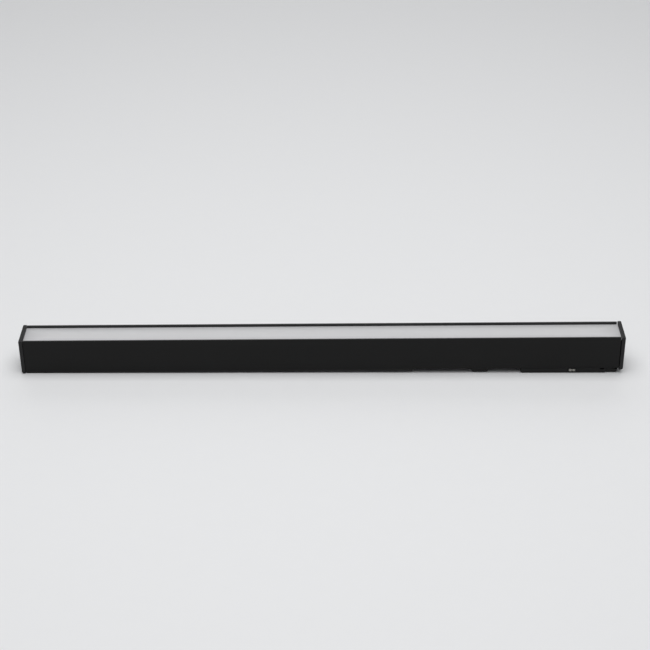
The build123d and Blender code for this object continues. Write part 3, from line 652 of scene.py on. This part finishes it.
# seen from above: a rounded nose on the inner side of the pair, a shoulder on the outer side
def shoeOutline(low, high, sideways, outward):
    shoulder, crown = contacts["shoulder"] * mm, contacts["crown"] * mm
    noseLow = low.x + shoulder if sideways < 0 else low.x
    noseHigh = high.x if sideways < 0 else high.x - shoulder
    tip, back = (low.y, high.y) if outward < 0 else (high.y, low.y)
    centre, half = (noseLow + noseHigh) / 2, (noseHigh - noseLow) / 2
    nose = []
    for step in range(contacts["tipSides"] + 1):
        turn = math.pi * step / contacts["tipSides"]
        nose.append((centre + half * math.cos(turn), tip - outward * crown * (1 - math.sin(turn))))
    shoulderY = back + outward * contacts["shoulderDepth"] * mm
    if sideways < 0:
        return [(high.x, back), *nose, (noseLow, shoulderY), (low.x, shoulderY), (low.x, back)]
    return [(high.x, back), (high.x, shoulderY), (noseHigh, shoulderY), *nose, (low.x, back)]


def makeContacts():
    tree = waveTree()
    gap = contacts["endGap"] * mm
    for edge, outward in (("front", -1), ("rear", 1)):
        for side, sideways in (("left", -1), ("right", 1)):
            ending = edge + "_" + side
            low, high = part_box("contact_" + ending)
            springLow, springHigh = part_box("contact_spring_" + ending)
            outline = shoeOutline(low, high, sideways, outward)
            shoe = extruded("contact_shoe_" + ending, outline, low.z, high.z,
                            finishes["contact_nickel"], contacts["edge"] * mm)
            keep(shoe, "contact_nickel", "contact_" + ending, body="contact_" + ending + "_shoe")
            busbarY = springHigh.y if outward < 0 else springLow.y
            start = Vector(((springLow.x + springHigh.x) / 2, busbarY + outward * gap,
                            (springLow.z + springHigh.z) / 2))
            sizes = {"Length": springHigh.y - springLow.y - 2 * gap, "Swing": contacts["swing"] * mm,
                     "Waves": contacts["waves"], "Width": contacts["stripWidth"] * mm,
                     "Thickness": contacts["stripThickness"] * mm, "Direction": float(outward)}
            spring = grow("wave_spring_" + ending, tree, [start], sizes,
                          finishes["spring_steel"], contacts["smoothBelow"])
            keep(spring, "spring_steel", "contact_spring_" + ending)
            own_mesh(spring)


makeContacts()
print("contacts and their springs made")


# driver parts: wound inductor, chips with legs, capacitors with a rolled end

# wire and flange are in mm; each layer of wire lies in the grooves of the one below it
inductor = {"wire": 0.62, "layers": 3, "layerStep": 0.87, "flange": 0.9, "waistShare": 0.22,
            "smoothBelow": 60}


# copper wire wound in layers on the drum's waist
def windingTree():
    tree, given = newTree("winding", {"Inner Radius": 0.003, "Wire": 0.0006, "Height": 0.004})
    wire = given["Wire"]
    layerTurns = calc(tree, "DIVIDE", given["Height"], wire)
    section = circle(tree, 8, calc(tree, "MULTIPLY", wire, 0.49))
    layers = []
    for layer in range(inductor["layers"]):
        outwards = calc(tree, "MULTIPLY", wire, layer * inductor["layerStep"] + 0.5)
        radius = calc(tree, "ADD", given["Inner Radius"], outwards)
        layers.append(swept(tree, spiral(tree, 30, layerTurns, radius, given["Height"]), section))
    return endTree(tree, given, joined(tree, *layers))


# a drum core: waist between two flanges
def drumTree():
    tree, given = newTree("drumCore", {"Radius": 0.006, "Waist": 0.003, "Height": 0.006,
                                       "Flange": 0.0009})
    flange = roundBar(tree, 48, given["Radius"], given["Radius"], given["Flange"])
    lift = calc(tree, "SUBTRACT", given["Height"], given["Flange"])
    waist = roundBar(tree, 32, given["Waist"], given["Waist"], lift)
    waist = moved(tree, waist, xyz(tree, z=calc(tree, "MULTIPLY", given["Flange"], 0.5)))
    solid = combine(tree, "UNION", flange, moved(tree, flange, xyz(tree, z=lift)), waist)
    return endTree(tree, given, solid)


# sizes in mm; root is the share of a chip's height where its legs come out
chipLegs = {"perSide": 3, "pitch": 1.27, "width": 0.42, "thickness": 0.18, "reach": 0.75,
            "root": 0.45, "footShare": 0.8, "smallestChip": 4.5}


# bent legs along two sides of a chip: a short run out, a rise to the board and a flat foot
def legTree():
    tree, given = newTree("chipLegs", {"Count": 3, "Pitch": 0.00127, "Half Width": 0.002,
                                       "Leg Width": 0.0004, "Thickness": 0.0002, "Reach": 0.0007,
                                       "Height": 0.0006})
    run = block(tree, given["Leg Width"], given["Reach"], given["Thickness"])
    half = calc(tree, "MULTIPLY", given["Reach"], 0.5)
    upright = block(tree, given["Leg Width"], given["Thickness"], given["Height"])
    halfway = calc(tree, "MULTIPLY", given["Height"], 0.5)
    root = moved(tree, run, xyz(tree, y=calc(tree, "MULTIPLY", half, 0.2)))
    rise = moved(tree, upright, xyz(tree, y=calc(tree, "MULTIPLY", half, 0.9), z=halfway))
    foot = moved(tree, run, xyz(tree, y=calc(tree, "MULTIPLY", half, 1.6), z=given["Height"]),
                 scale=(1.0, chipLegs["footShare"], 1.0))
    leg = combine(tree, "UNION", root, rise, foot)
    rowLength = calc(tree, "MULTIPLY", given["Pitch"], calc(tree, "SUBTRACT", given["Count"], 1.0))
    first = xyz(tree, calc(tree, "MULTIPLY", rowLength, -0.5), given["Half Width"])
    line = addNode(tree, "GeometryNodeMeshLine", {
        "Count": given["Count"], "Start Location": first,
        "Offset": xyz(tree, given["Pitch"])}, mode="OFFSET").outputs[0]
    row = addNode(tree, "GeometryNodeInstanceOnPoints", {"Points": line, "Instance": leg}).outputs[0]
    row = addNode(tree, "GeometryNodeRealizeInstances", {0: row}).outputs[0]
    return endTree(tree, given, joined(tree, row, moved(tree, row, turn=(0, 0, math.pi))))


# groove, recess and ventWidth are in mm; grooveAt is a share of the can's length, recessRadius
# of its radius and ventReach of the recess's radius
cans = {"sides": 40, "groove": 0.28, "grooveAt": 0.12, "recess": 0.4, "recessRadius": 0.8,
        "ventWidth": 0.3, "ventReach": 1.5}


# a can lying along X: a rolled groove near one end, and a recessed vent cross in the other
def canTree():
    tree, given = newTree("capacitorCans", {"Radius": 0.004, "Length": 0.012, "Groove": 0.0003,
                                            "Recess": 0.0004})
    radius, length, recess = given["Radius"], given["Length"], given["Recess"]
    body = roundBar(tree, cans["sides"], radius, radius, length)
    groove = swept(tree, circle(tree, cans["sides"], radius), circle(tree, 8, given["Groove"]))
    groove = moved(tree, groove, xyz(tree, z=calc(tree, "MULTIPLY", length, cans["grooveAt"])))
    inner = calc(tree, "MULTIPLY", radius, cans["recessRadius"])
    face = roundBar(tree, cans["sides"], inner, inner, recess)
    sink = calc(tree, "SUBTRACT", length, calc(tree, "MULTIPLY", recess, 0.9))
    vent = block(tree, calc(tree, "MULTIPLY", inner, cans["ventReach"]), cans["ventWidth"] * mm, recess)
    low = xyz(tree, z=calc(tree, "SUBTRACT", length, recess))
    vents = [moved(tree, vent, low, turn=(0, 0, angle)) for angle in (0.0, math.pi / 2)]
    solid = combine(tree, "DIFFERENCE", body, groove, moved(tree, face, xyz(tree, z=sink)), *vents)
    solid = moved(tree, solid, xyz(tree, calc(tree, "MULTIPLY", length, -0.5)),
                  turn=(0, math.pi / 2, 0))
    return endTree(tree, given, solid)


def makeInductor():
    low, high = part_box("driver_inductor")
    size = high - low
    seat = boxSeat(low, high, low.z)
    flange, wire = inductor["flange"] * mm, inductor["wire"] * mm
    waist = size.x * inductor["waistShare"]
    sizes = {"Radius": size.x / 2, "Waist": waist, "Height": size.z, "Flange": flange}
    core = grow("inductor_core", drumTree(), [seat], sizes, finishes["ferrite"])
    keep(core, "ferrite", "driver_inductor")
    copper = makeMetal("enamelledCopper", (0.72, 0.30, 0.12), 0.2, 0.34, (300, 300, 300))
    sizes = {"Inner Radius": waist, "Wire": wire, "Height": size.z - 2 * flange - wire}
    start = seat + Vector((0, 0, flange + wire / 2))
    winding = grow("inductor_winding", windingTree(), [start], sizes, copper, inductor["smoothBelow"])
    keep(winding, "ferrite")


# the chips hang under the board, so their legs rise to it
def makeChipLegs():
    legs = legTree()
    pins = makeMetal("tinnedLegs", (0.62, 0.63, 0.64), 0.2, 0.34, (500, 500, 500))
    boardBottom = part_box("driver_board")[0].z
    bigChips = [box for box in solidBoxes("driver_chips")
                if box[1].x - box[0].x > chipLegs["smallestChip"] * mm]
    for index, (low, high) in enumerate(bigChips):
        root = low.z + (high.z - low.z) * chipLegs["root"]
        sizes = {"Count": chipLegs["perSide"], "Pitch": chipLegs["pitch"] * mm,
                 "Half Width": (high.y - low.y) / 2, "Leg Width": chipLegs["width"] * mm,
                 "Reach": chipLegs["reach"] * mm, "Thickness": chipLegs["thickness"] * mm,
                 "Height": boardBottom - root - chipLegs["thickness"] * mm / 2}
        row = grow("chip_legs_%d" % (index + 1), legs, [boxSeat(low, high, root)], sizes, pins)
        keep(row, "chip_resin")


def makeCapacitors():
    boxes = solidBoxes("driver_capacitors")
    seats = [(low + high) / 2 for low, high in boxes]
    size = boxes[0][1] - boxes[0][0]
    sizes = {"Radius": size.y / 2, "Length": size.x, "Groove": cans["groove"] * mm,
             "Recess": cans["recess"] * mm}
    capacitors = grow("capacitor_cans", canTree(), seats, sizes, finishes["capacitor_can"])
    keep(capacitors, "capacitor_can", "driver_capacitors")


makeInductor()
makeChipLegs()
makeCapacitors()
print("driver parts made")


# camera, floor and lights

# distance, aside and below say where the camera sees the housing's middle
camera = {"lens": 89.2, "sensor": 36, "pitch": 31.28, "yaw": -0.47, "roll": -0.625,
          "distance": 1611 * mm, "aside": -3.1 * mm, "below": 21.5 * mm, "clipStart": 50 * mm}


def placeCamera():
    housingLow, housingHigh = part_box("housing")
    centre = Vector((0, 0, (housingLow.z + housingHigh.z) / 2))
    pitch, roll, yaw = (math.radians(camera[key]) for key in ("pitch", "roll", "yaw"))
    spin = Matrix.Rotation(-yaw, 3, "Z")
    forward = spin @ Vector((0, math.cos(pitch), -math.sin(pitch)))
    flatRight = spin @ Vector((1, 0, 0))
    flatDown = forward.cross(flatRight)
    right = flatRight * math.cos(roll) - flatDown * math.sin(roll)
    down = flatRight * math.sin(roll) + flatDown * math.cos(roll)
    data = bpy.data.cameras.new("camera")
    data.lens = camera["lens"]
    data.sensor_width = camera["sensor"]
    data.clip_start = camera["clipStart"]
    placed = addObject("camera", data)
    turn = Matrix((right, -down, -forward)).transposed()
    away = right * camera["aside"] + down * camera["below"] + forward * camera["distance"]
    placed.matrix_world = Matrix.Translation(centre - away) @ turn.to_4x4()
    bpy.context.scene.camera = placed


floor = {"size": 9.0, "colour": (0.80, 0.805, 0.815), "mottle": 0.985, "grainScale": 60.0,
         "roughness": 0.55, "specular": 0.2}


# how far left a piece's underside reaches
def lowestEdge(nodeName):
    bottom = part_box(nodeName)[0].z
    return min(vert.co.x for vert in nodes[nodeName].data.vertices if vert.co.z < bottom + 0.01 * mm)


# the bar leans on the left cap's foot and on the near edge of the adapter head
def makeFloor():
    footX, headX = lowestEdge("end_cap_left"), lowestEdge("adapter_head")
    footZ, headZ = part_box("end_cap_left")[0].z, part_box("adapter_head")[0].z
    slope = (headZ - footZ) / (headX - footX)
    half = floor["size"] / 2
    mesh = bpy.data.meshes.new("floor")
    corners = [(x, y, footZ + slope * (x - footX))
               for x, y in ((-half, -half), (half, -half), (half, half), (-half, half))]
    mesh.from_pydata(corners, [], [(0, 1, 2, 3)])
    placed = addObject("floor", mesh)
    material, tree, shader, coords = startMaterial(
        "paleFloor", {"Specular IOR Level": floor["specular"]})
    grain = noise(tree, coords, floor["grainScale"], 4.0)
    dull = tuple(c * floor["mottle"] for c in floor["colour"])
    feed(tree, shader, colour=mixColours(tree, grain, dull, floor["colour"]),
         roughness=remap(tree, grain, 0.3, 0.7, floor["roughness"], floor["roughness"] + 0.1))
    mesh.materials.append(material)


lights = {
    "over": {"at": (0.0, -0.1, 1.9), "size": (2.1, 1.6), "power": 31.0},
    "front": {"at": (0.0, -1.5, 2.1), "size": (2.0, 1.2), "power": 10.5},
    "back": {"at": (0.0, 2.6, 1.35), "size": (3.8, 1.9), "power": 18.0},
}
worldLight = {"colour": (0.97, 0.985, 1.0), "strength": 0.15}


def placeLights():
    for name, light in lights.items():
        data = bpy.data.lights.new(name, "AREA")
        data.shape = "RECTANGLE"
        data.size, data.size_y = light["size"]
        data.energy = light["power"]
        placed = addObject(name, data)
        placed.location = light["at"]
        placed.rotation_euler = (-Vector(light["at"])).to_track_quat("-Z", "Y").to_euler()
    world = bpy.data.worlds.new("studio")
    world.use_nodes = True
    background = world.node_tree.nodes["Background"]
    background.inputs["Color"].default_value = (*worldLight["colour"], 1)
    background.inputs["Strength"].default_value = worldLight["strength"]
    bpy.context.scene.world = world


placeCamera()
makeFloor()
placeLights()
bpy.context.scene.view_settings.view_transform = "Standard"
print("camera, floor and lights placed")
